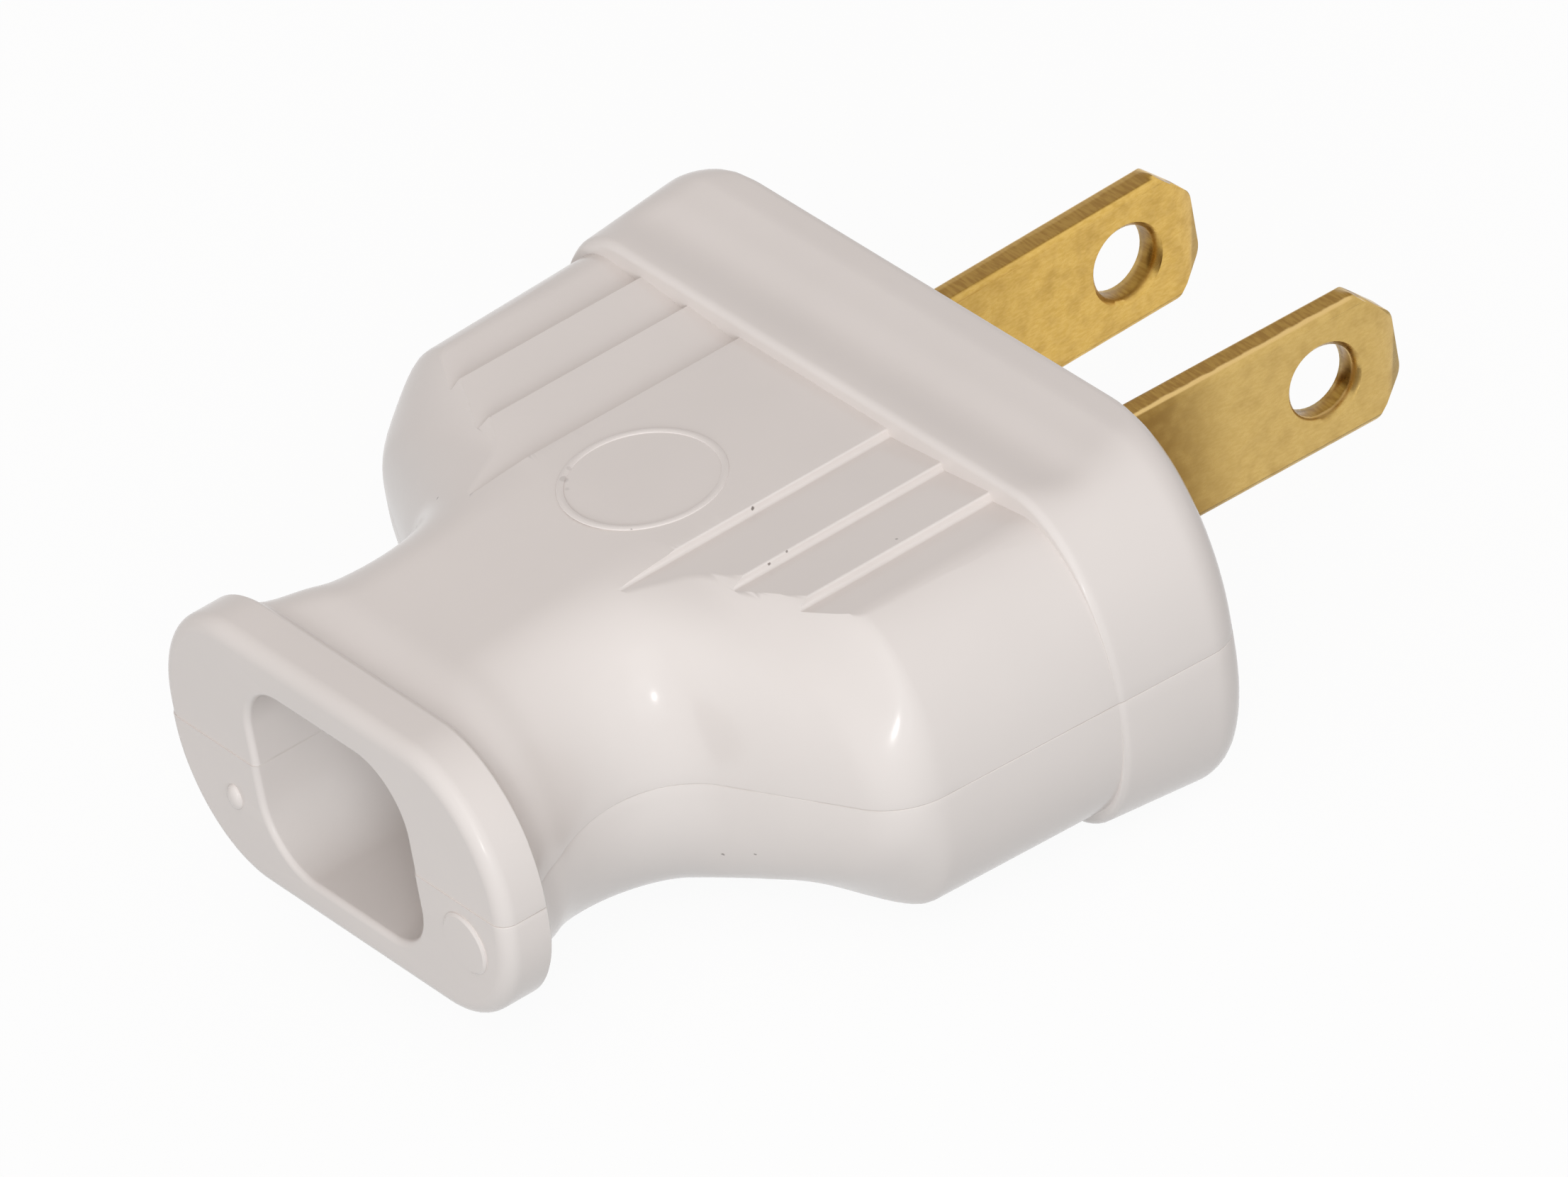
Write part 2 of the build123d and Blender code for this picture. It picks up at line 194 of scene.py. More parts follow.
def roundCorners(corners, steps=5):
    # Corners are (u, v, radius); a radius of 0 keeps the corner sharp
    outline = []
    for i, (u, v, radius) in enumerate(corners):
        here = Vector((u, v))
        if radius == 0:
            outline.append(here)
            continue
        before = (Vector(corners[i - 1][:2]) - here).normalized()
        after = (Vector(corners[(i + 1) % len(corners)][:2]) - here).normalized()
        half = before.angle(after) / 2
        centre = here + (before + after).normalized() * radius / math.sin(half)
        first = here + before * radius / math.tan(half) - centre
        last = here + after * radius / math.tan(half) - centre
        outline += [centre + radius * first.slerp(last, share) for share in shares(steps)]
    return [tuple(p) for p in outline]


def circle(centre, radius, count):
    turns = [2 * math.pi * i / count for i in range(count)]
    return [(centre[0] + radius * math.cos(angle), centre[1] + radius * math.sin(angle)) for angle in turns]


def rectangle(low, high):
    return [(low[0], low[1]), (high[0], low[1]), (high[0], high[1]), (low[0], high[1])]


def nodeTree(name, inputs):
    # An empty geometry tree with named inputs; returns it with the sockets that carry them
    tree = bpy.data.node_groups.new(name, "GeometryNodeTree")
    for label, kind in inputs.items():
        tree.interface.new_socket(name=label, in_out="INPUT", socket_type="NodeSocket" + kind)
    tree.interface.new_socket(name="Geometry", in_out="OUTPUT", socket_type="NodeSocketGeometry")
    return tree, tree.nodes.new("NodeGroupInput").outputs


def endTree(tree, geometry, material):
    real = addNode(tree, "GeometryNodeRealizeInstances", Geometry=geometry)
    painted = addNode(tree, "GeometryNodeSetMaterial", Geometry=real, Material=material)
    feed(tree, tree.nodes.new("NodeGroupOutput").inputs[0], painted)


def grow(name, tree, values):
    # Runs a tree once and keeps its result as a plain mesh
    made = meshObject(name, [], [])
    step = made.modifiers.new("tree", "NODES")
    step.node_group = tree
    for item in tree.interface.items_tree:
        if item.in_out == "INPUT":
            step[item.identifier] = values[item.name]
    settle(made, step)
    return made


# Camera, as the photograph was taken: a long lens from above, right and behind

cameraView = {
    "target": (-8.33, 2.65, -3.33),
    "distance": 816.65,
    "azimuth": -31.49,
    "elevation": 34.59,
    "roll": -10.56,
    "lens": 449.76,
    "sensor": 36.0,
    "nearest": 10.0,
    "farthest": 20000.0,
}


def makeCamera():
    azimuth, elevation = math.radians(cameraView["azimuth"]), math.radians(cameraView["elevation"])
    level = math.cos(elevation)
    away = Vector((math.sin(azimuth) * level, -math.cos(azimuth) * level, math.sin(elevation)))
    rightward = Vector((math.cos(azimuth), math.sin(azimuth), 0.0))
    rightward = (Matrix.Rotation(math.radians(cameraView["roll"]), 3, away) @ rightward).normalized()
    upward = away.cross(rightward)
    data = bpy.data.cameras.new("photoCamera")
    data.lens, data.sensor_width, data.sensor_fit = cameraView["lens"], cameraView["sensor"], "HORIZONTAL"
    data.clip_start, data.clip_end = cameraView["nearest"] * mm, cameraView["farthest"] * mm
    made = bpy.data.objects.new("photoCamera", data)
    scene.collection.objects.link(made)
    place = (Vector(cameraView["target"]) + away * cameraView["distance"]) * mm
    turn = Matrix((rightward, upward, away)).transposed().to_4x4()
    made.matrix_world = Matrix.Translation(place) @ turn
    scene.camera = made


makeCamera()
print("camera placed")


# Materials

noiseSpan = (0.3, 0.7)  # where most values of a noise texture lie


def newMaterial(name):
    made = bpy.data.materials.new(name)
    made.use_nodes = True
    tree = made.node_tree
    shader = tree.nodes["Principled BSDF"]
    place = addNode(tree, "ShaderNodeTexCoord").outputs["Object"]
    return made, tree, shader, place


def patternScale(size):
    # A texture's scale, from the size of its spots in millimetres
    return 1 / (size * mm)


ureaLook = {
    "light": "E8E1DD",
    "shade": "E1DAD6",
    "speck": "4E4036",
    "grime": "B7AAA0",
    "ior": 1.5,
    "roughness": 0.16,
    "glossSpread": (-0.03, 0.05),
    "mottleSize": 7.0,
    "peelSize": 0.8,
    "peelDepth": 0.05,
    "peelStrength": 0.05,
    "seamHalf": 0.09,
    "grimeShare": 0.22,
    "grimeSize": 2.5,
    "grimeBreaks": (0.4, 0.65),
    "grimeStart": (-33.1, -32.0),  # along x, ahead of the clean cord end
    "speckWobble": 0.12,
    "speckCore": 0.5,  # share of the radius that is fully dark
}
# Specks of dirt on the shells: place, radius and strength
specks = [
    ((-13.84, -5.09, 7.41), 0.11, 0.8),
    ((-15.79, -8.73, 7.39), 0.1, 0.7),
    ((-14.84, -8.73, 7.5), 0.1, 0.7),
    ((-11.29, -11.54, 7.47), 0.09, 0.5),
    ((-21.22, 7.24, 6.27), 0.09, 0.5),
    ((-18.24, -2.58, 7.6), 0.08, 0.5),
    ((-21.09, -9.64, -3.97), 0.1, 0.6),
    ((-20.43, -11.04, -3.66), 0.08, 0.6),
    ((-17.9, 2.5, 7.62), 0.25, 0.2),
    ((-17.3, 2.95, 7.6), 0.15, 0.15),
    ((-18.2, 1.9, 7.6), 0.15, 0.15),
]


def mouldedUreaPlastic():
    # Compression-moulded white urea: a hard gloss skin, a little warm, with a faint orange peel,
    # grime in the seam and a few specks of dirt
    look, tone = ureaLook, tones(ureaLook)
    made, tree, shader, place = newMaterial("mouldedUreaPlastic")
    shader.inputs["IOR"].default_value = look["ior"]
    mottle = addNode(
        tree, "ShaderNodeTexNoise", Vector=place, Scale=patternScale(look["mottleSize"]), Detail=4.0
    )
    tint = addNode(tree, "ShaderNodeMix", twoColours, mottle, tone["shade"], tone["light"])
    # Grime in stretches along the seam
    spot = addNode(tree, "ShaderNodeSeparateXYZ", Vector=place).outputs
    fromSeam = addNode(tree, "ShaderNodeMath", unsigned, spot["Z"])
    seamHalf = look["seamHalf"] * mm
    seam = addNode(
        tree, "ShaderNodeMapRange", softRange, fromSeam, 0.0, seamHalf, look["grimeShare"], 0.0
    )
    ahead = addNode(tree, "ShaderNodeMapRange", softRange, spot["X"], *metres(look["grimeStart"]))
    patchy = addNode(
        tree, "ShaderNodeTexNoise", Vector=place, Scale=patternScale(look["grimeSize"]), Detail=3.0
    )
    broken = addNode(tree, "ShaderNodeMapRange", softRange, patchy, *look["grimeBreaks"])
    broken = addNode(tree, "ShaderNodeMath", times, broken, ahead)
    grimy = addNode(tree, "ShaderNodeMath", times, seam, broken)
    tint = addNode(tree, "ShaderNodeMix", twoColours, grimy, tint, tone["grime"])
    # Specks are small balls of dirt with an uneven edge
    wobble = look["speckWobble"]
    ragged = addNode(tree, "ShaderNodeTexNoise", Vector=place, Scale=patternScale(wobble), Detail=2.0)
    shift = {"operation": "MULTIPLY_ADD"}
    shifted = addNode(
        tree, "ShaderNodeVectorMath", shift, ragged.outputs["Color"], metres([wobble] * 3), place
    )
    dirt = 0.0
    for centre, radius, strength in specks:
        middle = metres(c + wobble / 2 for c in centre)
        away = addNode(tree, "ShaderNodeVectorMath", {"operation": "DISTANCE"}, shifted, middle)
        span = metres((radius * look["speckCore"], radius))
        shown = addNode(tree, "ShaderNodeMapRange", softRange, away, *span, strength, 0.0)
        dirt = addNode(tree, "ShaderNodeMath", larger, dirt, shown)
    tint = addNode(tree, "ShaderNodeMix", twoColours, dirt, tint, tone["speck"])
    roughness = [look["roughness"] + change for change in look["glossSpread"]]
    gloss = addNode(tree, "ShaderNodeMapRange", softRange, mottle, *noiseSpan, *roughness)
    peel = addNode(
        tree, "ShaderNodeTexNoise", Vector=place, Scale=patternScale(look["peelSize"]), Detail=2.0
    )
    depth = look["peelDepth"] * mm
    bump = addNode(tree, "ShaderNodeBump", Strength=look["peelStrength"], Distance=depth, Height=peel)
    feed(tree, shader.inputs["Base Color"], tint)
    feed(tree, shader.inputs["Roughness"], gloss)
    feed(tree, shader.inputs["Normal"], bump)
    return made


# The blades' sizes, which the shells' slots and seats take from here too
blade = {"spacing": 12.7, "width": 6.3, "thickness": 1.5, "splay": 1.6, "slotGap": 0.15, "slotReach": 6.0}
brassLook = {
    "bright": "E2BC6B",
    "base": "D7B05C",
    "greyed": "B5A276",
    "tarnishAndShadow": "8F6E38",
    "torn": "9E7B3A",
    "tornDark": "8E6A2E",
    "burnished": "DDBB7A",
    "roughness": 0.3,
    "dullSpread": (-0.06, 0.12),
    "mottleSize": 0.8,
    "grainWidth": 0.1,  # coarser than rolled brass has it, so that it shows
    "grainStretch": (0.35, 1.0, 1.0),
    "grainDepth": 0.02,
    "grainStrength": 0.1,
    "handBlend": 0.5,  # y within which left turns to right
    "greyedShare": 0.35,
    "cloudSpan": (0.4, 0.8),
    "cloudShare": 0.2,
    "shadowReach": (9.2, 4.4),  # x where the painted shadow of the collar starts, and where it is full
    "shadowSpan": (0.25, 0.6),
    "shadowLeast": 0.8,
    "leftShare": 0.25,  # of the painted shadow and of the burnished edge, on the left-hand blade
    "edgeTurn": (0.45, 0.2),  # how far a surface faces sideways, from flat side to cut edge
    "punchLine": (0.36, 0.52),  # from the middle of the thickness, outwards
    "punchWave": 0.3,
    "shearWidth": 0.13,
    "shearStretch": (1.0, 0.15, 1.0),
    "shearSpan": (0.35, 0.65),
}


def stampedBrass():
    # Rolled brass strip, stamped: warm yellow with a fine soft grain. Its cut edges are burnished along
    # the outer side, where the punch went in, and torn and brown on the rest
    look, tone = brassLook, tones(brassLook)
    made, tree, shader, place = newMaterial("stampedBrass")
    shader.inputs["Metallic"].default_value = 1.0
    spot = addNode(tree, "ShaderNodeSeparateXYZ", Vector=place).outputs
    facing = addNode(tree, "ShaderNodeTexCoord").outputs["Normal"]
    facing = addNode(tree, "ShaderNodeSeparateXYZ", Vector=facing).outputs
    sideways = addNode(tree, "ShaderNodeMath", unsigned, facing["Y"])
    along = addNode(tree, "ShaderNodeMapping", Vector=place, Scale=look["grainStretch"])
    grain = addNode(
        tree, "ShaderNodeTexNoise", Vector=along, Scale=patternScale(look["grainWidth"]), Detail=3.0
    )
    patches = addNode(
        tree, "ShaderNodeTexNoise", Vector=place, Scale=patternScale(look["mottleSize"]), Detail=5.0
    )
    shine = addNode(tree, "ShaderNodeMapRange", softRange, grain, *noiseSpan)
    face = addNode(tree, "ShaderNodeMix", twoColours, shine, tone["base"], tone["bright"])
    # The right-hand blade is painted a little greyer all over; near the body both blades get a painted
    # shadow of the collar, fainter on the left-hand blade
    middle = look["handBlend"] * mm
    rightHand = addNode(tree, "ShaderNodeMapRange", softRange, spot["Y"], middle, -middle)
    greyed = addNode(tree, "ShaderNodeMath", times, rightHand, look["greyedShare"])
    face = addNode(tree, "ShaderNodeMix", twoColours, greyed, face, tone["greyed"])
    cloud = addNode(
        tree, "ShaderNodeMapRange", softRange, patches, *look["cloudSpan"], 0.0, look["cloudShare"]
    )
    # Painted shadow that the collar casts on the blades near the body, broken up in patches
    nearBody = addNode(tree, "ShaderNodeMapRange", softRange, spot["X"], *metres(look["shadowReach"]))
    patchyShadow = addNode(
        tree, "ShaderNodeMapRange", softRange, patches, *look["shadowSpan"], look["shadowLeast"], 1.0
    )
    handWeight = addNode(tree, "ShaderNodeMapRange", softRange, rightHand, 0.0, 1.0, look["leftShare"], 1.0)
    collarShadow = addNode(tree, "ShaderNodeMath", times, nearBody, handWeight)
    collarShadow = addNode(tree, "ShaderNodeMath", times, collarShadow, patchyShadow)
    darker = addNode(tree, "ShaderNodeMath", larger, cloud, collarShadow)
    # The tarnish colour carries both the cloudy tarnish and the painted shadow
    face = addNode(tree, "ShaderNodeMix", twoColours, darker, face, tone["tarnishAndShadow"])
    # Distance from the middle of the blade's thickness, outwards, with an uneven line
    fromAxis = addNode(tree, "ShaderNodeMath", unsigned, spot["Y"])
    lean = addNode(tree, "ShaderNodeMath", times, spot["X"], -math.tan(math.radians(blade["splay"])))
    straight = addNode(tree, "ShaderNodeMath", plus, fromAxis, lean)
    outward = addNode(tree, "ShaderNodeMath", plus, straight, -blade["spacing"] / 2 * mm)
    wave = addNode(tree, "ShaderNodeMath", times, patches, look["punchWave"] * mm)
    uneven = addNode(tree, "ShaderNodeMath", plus, outward, wave)
    punched = addNode(tree, "ShaderNodeMapRange", softRange, uneven, *metres(look["punchLine"]))
    punched = addNode(tree, "ShaderNodeMath", times, punched, handWeight)
    across = addNode(tree, "ShaderNodeMapping", Vector=place, Scale=look["shearStretch"])
    shear = addNode(
        tree, "ShaderNodeTexNoise", Vector=across, Scale=patternScale(look["shearWidth"]), Detail=3.0
    )
    marks = addNode(tree, "ShaderNodeMapRange", softRange, shear, *look["shearSpan"])
    torn = addNode(tree, "ShaderNodeMix", twoColours, marks, tone["tornDark"], tone["torn"])
    edge = addNode(tree, "ShaderNodeMix", twoColours, punched, torn, tone["burnished"])
    cut = addNode(tree, "ShaderNodeMapRange", softRange, sideways, *look["edgeTurn"])
    tint = addNode(tree, "ShaderNodeMix", twoColours, cut, face, edge)
    roughness = [look["roughness"] + change for change in look["dullSpread"]]
    dull = addNode(tree, "ShaderNodeMapRange", softRange, patches, *noiseSpan, *roughness)
    depth = look["grainDepth"] * mm
    bump = addNode(tree, "ShaderNodeBump", Strength=look["grainStrength"], Distance=depth, Height=grain)
    feed(tree, shader.inputs["Base Color"], tint)
    feed(tree, shader.inputs["Roughness"], dull)
    feed(tree, shader.inputs["Normal"], bump)
    return made


steelLook = {
    "bright": "CFCDC6",
    "dull": "A9A69C",
    "roughness": 0.34,
    "dullSpread": 0.08,
    "spangleSize": 0.5,
}


def zincPlatedSteel():
    # Plated screw steel: cool grey with a soft, slightly cloudy shine
    look, tone = steelLook, tones(steelLook)
    made, tree, shader, place = newMaterial("zincPlatedSteel")
    shader.inputs["Metallic"].default_value = 1.0
    cloud = addNode(
        tree, "ShaderNodeTexNoise", Vector=place, Scale=patternScale(look["spangleSize"]), Detail=3.0
    )
    tint = addNode(tree, "ShaderNodeMix", twoColours, cloud, tone["dull"], tone["bright"])
    smoothest, dullest = look["roughness"] - look["dullSpread"], look["roughness"] + look["dullSpread"]
    dull = addNode(tree, "ShaderNodeMapRange", Value=cloud, To_Min=smoothest, To_Max=dullest)
    feed(tree, shader.inputs["Base Color"], tint)
    feed(tree, shader.inputs["Roughness"], dull)
    return made


ureaPlastic = mouldedUreaPlastic()
brass = stampedBrass()
platedSteel = zincPlatedSteel()
print("materials made")


# Moulded shells. Each half is one skin of rings: over the outside from the mating face to the cord end,
# in through the inlet and along the wiring room to the front wall

shell = {
    "bodyWidth": 37.55,
    "bodyHeight": 15.1,
    "cornerWidth": 5.05,
    "sideFlat": 0.4,
    "sideTaper": 2.9,  # degrees
    "shoulderFromFace": 15.2,
    "shoulderRound": 3.4,
    "waistFromFace": 24.9,
    "waistRound": 4.25,
    "waistWidth": 16.5,
    "flareRound": 5.8,
    "panelEnd": 17.0,
    "neckHeight": 13.3,
    "neckFlat": 3.4,
    "neckSideFlat": 0.57,
    "neckFlatFromFace": 18.6,
    "flareFlat": 2.3,  # what the neck's top gains towards the flange
    "flareFlatFromFace": 27.4,
    "flarePower": 1.5,
    "neckRise": 0.1,
    "length": 33.3,
    "seamRound": 0.05,
    "seamShift": 0.07,  # the lower half is a hair narrower at the neck
    "grooveDepth": 0.4,
    "grooveLength": 2.2,
}
collar = {
    "length": 6.75,
    "sideStep": 0.06,
    "step": 0.77,
    "cornerWidth": 5.25,
    "sideFlat": 0.62,
    "rearRound": 0.35,
    "rimHeight": 0.43,
    "rimFromFace": 1.5,
    "sweepLength": 2.8,
    "sweepPower": 1.6,
    "troughShare": 1.0,
    "troughEnds": (13.6, 16.0),  # y between which the trough fades out
    "dip": 0.2,
    "dipLength": 3.6,
    "crestBlend": 0.12,
    "frontRound": 0.3,
    "frontSideRound": 1.9,
    "frontCornerWidth": 8.0,
    "frontSideFlat": 0.38,
    "frontPower": 3,
}
flange = {
    "length": 2.8,
    "width": 23.5,
    "height": 13.2,
    "cornerWidth": 5.4,
    "sideFlat": 0.43,
    "edgeRound": 0.75,
    "neckBlend": 0.55,
    "halfStep": 0.05,  # between the two halves on the end face
    "inletWidth": 11.0,
    "inletHeight": 9.2,
    "inletCorner": 2.8,
    "inletRound": 0.3,
    "inletSeam": 0.012,
}
room = {
    "frontWall": 3.0,
    "sideWall": 3.8,
    "roof": 2.25,
    "rear": 22.5,
    "rearWidth": 12.0,
    "bendFromFace": 14.0,
    "cornerRound": 0.4,
}
# How many steps each stretch of the skin has
ringSteps = {
    "seam": 3,
    "corner": 22,
    "top": 18,
    "turn": 16,
    "slope": 8,
    "flare": 14,
    "edge": 8,
    "straight": 6,
    "sweep": 30,
    "crest": 4,
}


def sideHalfWidth(x):
    return shell["bodyWidth"] / 2 + (x + collar["length"]) * math.sin(math.radians(shell["sideTaper"]))


def shoulderLine():
    # The straight line in plan from the shoulder's rounding to the waist's, and how far both turn
    shoulder = -shell["shoulderFromFace"]
    centre = (shoulder, sideHalfWidth(shoulder) - shell["shoulderRound"])
    waist = (-shell["waistFromFace"], shell["waistWidth"] / 2 + shell["waistRound"])
    run, rise = waist[0] - centre[0], waist[1] - centre[1]
    lean = math.acos((shell["shoulderRound"] + shell["waistRound"]) / math.hypot(run, rise))
    heading = math.atan2(rise, run) - lean
    normal = (math.cos(heading), math.sin(heading))
    leaves = [centre[k] + shell["shoulderRound"] * normal[k] for k in (0, 1)]
    enters = [waist[k] - shell["waistRound"] * normal[k] for k in (0, 1)]
    return centre, waist, leaves, enters, (heading - math.pi / 2) % (2 * math.pi)


def planHalfWidth(x):
    # In turn along the body: side, shoulder, slope, waist and flare
    centre, waist, leaves, enters, _ = shoulderLine()
    if x >= centre[0]:
        return sideHalfWidth(x)
    if x >= leaves[0]:
        return centre[1] + math.sqrt(shell["shoulderRound"] ** 2 - (x - centre[0]) ** 2)
    if x >= enters[0]:
        return between(enters[1], leaves[1], (x - enters[0]) / (leaves[0] - enters[0]))
    if x >= waist[0]:
        return waist[1] - math.sqrt(max(shell["waistRound"] ** 2 - (x - waist[0]) ** 2, 0.0))
    return shell["waistWidth"] / 2 + (x - waist[0]) ** 2 / (2 * shell["flareRound"])


def halfRing(side, x, halfWidth, halfHeight, cornerWidth, sideFlat, rise=0.0, seam=shell["seamRound"]):
    # From the seam on the left, over the top, to the seam on the right; side is 1 above and -1 below
    bandTop, cornerHeight, flat = sideFlat + side * rise, halfHeight - sideFlat, halfWidth - cornerWidth
    half = []
    for angle in quarterTurn(ringSteps["seam"]):
        half.append((halfWidth - seam * (1 - math.sin(angle)), seam * (1 - math.cos(angle))))
    for angle in quarterTurn(ringSteps["corner"]):
        half.append((flat + cornerWidth * math.cos(angle), bandTop + cornerHeight * math.sin(angle)))
    half += [(flat * (1 - share), bandTop + cornerHeight) for share in shares(ringSteps["top"])[1:]]
    whole = half + [(-y, z) for y, z in reversed(half[:-1])]
    return [(x, y, side * z) for y, z in whole]


def bodyRing(side, x):
    halfWidth = planHalfWidth(x)
    neckStart = shell["length"] - flange["length"]
    fall = smoothStep((-shell["panelEnd"] - x) / (neckStart - shell["panelEnd"]))
    groove = shell["grooveDepth"] * (1 - smoothStep((x + neckStart) / shell["grooveLength"]))
    halfHeight = between(shell["bodyHeight"], shell["neckHeight"], fall) / 2 - groove
    halfWidth -= groove + (shell["seamShift"] * fall if side < 0 else 0.0)
    shoulder = -shell["shoulderFromFace"]
    narrowing = smoothStep((shoulder - x) / (shell["neckFlatFromFace"] + shoulder))
    bodyFlat = sideHalfWidth(max(x, shoulder)) - shell["cornerWidth"]
    flat = between(bodyFlat, shell["neckFlat"], narrowing)
    # The neck's top widens again where it runs into the flange
    widening = (-shell["flareFlatFromFace"] - x) / (neckStart - shell["flareFlatFromFace"])
    flat += shell["flareFlat"] * min(max(widening, 0.0), 1.0) ** shell["flarePower"]
    sideFlat = between(shell["sideFlat"], shell["neckSideFlat"], narrowing)
    return halfRing(side, x, halfWidth, halfHeight, halfWidth - flat, sideFlat, shell["neckRise"] * fall)


def rimRise(x, straight):
    # The top rises to a softened crest: straight at the sides, in a hollow sweep between them
    length, power = collar["sweepLength"], collar["sweepPower"]
    if straight:
        length, power = collar["length"] - collar["rearRound"] - collar["rimFromFace"], 1
    total = 0.0
    offsets = [2 * share - 1 for share in shares(ringSteps["crest"])]
    for offset in offsets:
        share = (x + offset * collar["crestBlend"] + collar["rimFromFace"] + length) / length
        total += min(max(share, 0.0), 1.0) ** power
    return collar["rimHeight"] * total / len(offsets)


def collarRing(side, x):
    rearInset = rounding(x + collar["length"], collar["rearRound"])
    level = shell["bodyHeight"] / 2 + collar["step"] - rounding(-x, collar["frontRound"]) - rearInset
    sideStep = collar["sideStep"] * smoothStep((x + collar["length"]) / collar["rearRound"])
    halfWidth = sideHalfWidth(x) + sideStep - rounding(-x, collar["frontSideRound"])
    # The corners open out at the very front
    growth = (rounding(-x, collar["rimFromFace"]) / collar["rimFromFace"]) ** collar["frontPower"]
    cornerWidth = between(collar["cornerWidth"], collar["frontCornerWidth"], growth)
    sideFlat = between(collar["sideFlat"], collar["frontSideFlat"], growth)
    ring = halfRing(side, x, halfWidth, level + rimRise(x, True), cornerWidth, sideFlat)
    trough = collar["troughShare"] * (rimRise(x, True) - rimRise(x, False))
    # Behind the sweep the trough dips a little below the rear edge
    along = (x + collar["length"] - collar["rearRound"]) / collar["dipLength"]
    trough += collar["dip"] * math.sin(math.pi * min(max(along, 0.0), 1.0)) ** 2
    near, far = collar["troughEnds"]
    lowered = []
    for px, py, pz in ring:
        fade = 1 - smoothStep((abs(py) - near) / (far - near))
        lowered.append((px, py, pz - side * trough * fade))
    return lowered


def flangeRing(side, x):
    # Grows out of the neck's last ring in a soft hollow, and is rounded at the cord end
    neckEnd = flange["length"] - shell["length"]
    inset = rounding(x + shell["length"], flange["edgeRound"])
    outer = halfRing(
        side,
        x,
        flange["width"] / 2 - inset,
        flange["height"] / 2 - inset,
        flange["cornerWidth"] - inset,
        flange["sideFlat"],
        shell["neckRise"],
    )
    share = smoothStep((neckEnd - x) / flange["neckBlend"])
    inner = [(x, y, z) for _, y, z in bodyRing(side, neckEnd)]
    return [tuple(Vector(a).lerp(Vector(b), share)) for a, b in zip(inner, outer)]


def inletRing(side, x, wider):
    return halfRing(
        side,
        x,
        flange["inletWidth"] / 2 + wider,
        flange["inletHeight"] / 2 + wider,
        flange["inletCorner"] + wider,
        flange["inletHeight"] / 2 - flange["inletCorner"],
        seam=flange["inletSeam"],
    )


def roomRing(side, x):
    frontHalf = shell["bodyWidth"] / 2 - room["sideWall"]
    share = min(max((-x - room["bendFromFace"]) / (room["rear"] - room["bendFromFace"]), 0.0), 1.0)
    halfHeight = shell["bodyHeight"] / 2 - room["roof"]
    halfWidth = between(frontHalf, room["rearWidth"] / 2, share)
    return halfRing(side, x, halfWidth, halfHeight, room["cornerRound"], halfHeight - room["cornerRound"])


def shellRings(side):
    centre, waist, leaves, enters, turn = shoulderLine()
    quarter = quarterTurn(ringSteps["edge"])
    # Collar, from the mating face to its rear wall
    crest, rear = -collar["rimFromFace"], -collar["length"]
    places = [between(crest, 0, math.sin(angle)) for angle in reversed(quarter)]
    rearFlat = rear + collar["rearRound"]
    places += [between(crest, rearFlat, share) for share in shares(ringSteps["sweep"])[1:-1]]
    places += [rear + collar["rearRound"] * (1 - math.cos(angle)) for angle in reversed(quarter)]
    rings = [collarRing(side, x) for x in places]
    # Body, shoulder, waist and neck
    places = [between(rear, centre[0], share) for share in shares(ringSteps["straight"])[:-1]]
    turns = [turn * share for share in shares(ringSteps["turn"])]
    places += [centre[0] - shell["shoulderRound"] * math.sin(angle) for angle in turns]
    places += [between(leaves[0], enters[0], share) for share in shares(ringSteps["slope"])[1:-1]]
    places += [waist[0] + shell["waistRound"] * math.sin(angle) for angle in reversed(turns)]
    neckEnd = flange["length"] - shell["length"]
    places += [between(waist[0], neckEnd, share) for share in shares(ringSteps["flare"])[1:]]
    rings += [bodyRing(side, x) for x in places]
    # Flange, and the inlet's rounded mouth
    places = [neckEnd - flange["neckBlend"] * share for share in shares(ringSteps["edge"])[1:]]
    places += [flange["edgeRound"] * (1 - math.cos(angle)) - shell["length"] for angle in reversed(quarter)]
    ends = [flangeRing(side, x) for x in places]
    for angle in quarter:
        depth = flange["inletRound"] * (1 - math.cos(angle))
        ends.append(inletRing(side, depth - shell["length"], flange["inletRound"] * (1 - math.sin(angle))))
    # The upper half ends a hair short, so that the seam on the end face is a small step
    back = flange["halfStep"] if side > 0 else 0.0
    first = ringSteps["edge"]
    rings += ends[:first] + [[(x + back, y, z) for x, y, z in ring] for ring in ends[first:]]
    # Inlet and wiring room
    rings.append(inletRing(side, -room["rear"], 0.0))
    rings += [roomRing(side, x) for x in (-room["rear"], -room["bendFromFace"], -room["frontWall"])]
    return rings


def shellSkin(name, side):
    rings = shellRings(side)
    count = len(rings[0])
    points = [p for ring in rings for p in ring]
    faces = []
    for i in range(len(rings) - 1):
        for j in range(count - 1):
            a, b = i * count + j, (i + 1) * count + j
            faces.append((a, a + 1, b + 1, b))
    # The mating face, the parting face and the wiring room's front wall close it
    lefts = [i * count for i in range(len(rings))]
    rights = [i * count + count - 1 for i in range(len(rings))]
    faces += [tuple(range(count)), tuple(lefts + rights[::-1])]
    faces.append(tuple(range((len(rings) - 1) * count, len(rings) * count)))
    made = meshObject(name, points, faces)
    faceOutwards(made)
    return made


ribs = {
    "steps": (5.09, 8.73, 11.97),
    "depths": (0.38, 0.4, 0.47),
    "crestFall": 0.03,  # of the second and third crest below the panel
    "panelGap": 0.02,
    "edgeRound": 0.09,
    "footRound": 0.15,
    "lastSlope": 7.0,  # degrees
    "rollFrom": 14.0,
    "rollRound": 2.6,
    "rollTurn": 34.0,  # degrees
    "rollSteps": 8,
    "clear": 1.0,  # by which a cutter overshoots
}


